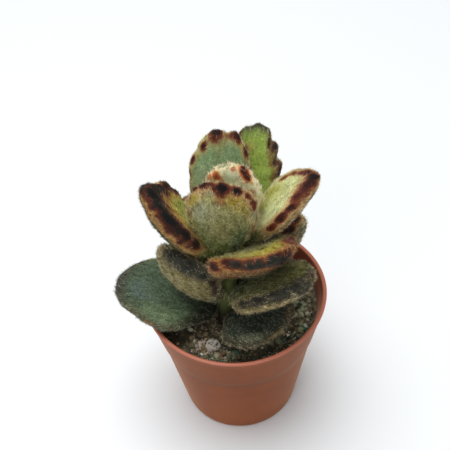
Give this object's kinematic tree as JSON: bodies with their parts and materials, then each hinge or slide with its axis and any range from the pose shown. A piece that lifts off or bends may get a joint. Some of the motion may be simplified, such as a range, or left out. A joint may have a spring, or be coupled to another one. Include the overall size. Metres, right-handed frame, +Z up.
{
  "type": "potted teddy bear panda plant",
  "caption": "Small succulent with thick felted leaves, toothed and dark-spotted at their margins, in a tapered plastic nursery pot with a collar, standing on its flat foot.",
  "frame": {"origin": "the middle of the flat pad under the pot, on the surface that the pot stands on", "axes": "+Z up along the pot's axis, +Y away from the picture's viewer, +X to the viewer's right"},
  "size_m": [0.0625, 0.055, 0.1001],
  "materials": {
    "pot": "satin",
    "soil": "matte",
    "stem": "matte",
    "leaf": "matte",
    "perlite": "matte",
    "bark": "matte",
    "moss": "matte"
  },
  "bodies": {
    "root": {"pot": "pot", "soil": "soil", "stem": "stem", "leaf_low_left": "leaf", "leaf_low_front": "leaf", "leaf_low_right": "leaf", "leaf_middle_left": "leaf", "leaf_middle_front": "leaf", "leaf_behind_right": "leaf", "leaf_upper_left": "leaf", "leaf_upper_right": "leaf", "leaf_back_tall": "leaf", "leaf_back_green": "leaf", "leaf_bud_front": "leaf", "leaf_bud_back": "leaf", "leaf_rear_low": "leaf", "leaf_rear_right": "leaf", "leaf_rear_left": "leaf", "perlite_lump": "perlite", "perlite_shard": "perlite", "perlite_grain_left": "perlite", "perlite_grain_front": "perlite", "perlite_grain_right": "perlite", "bark_chip_front": "bark", "bark_chip_right": "bark", "moss_clump": "moss"}
  },
  "joints": []
}
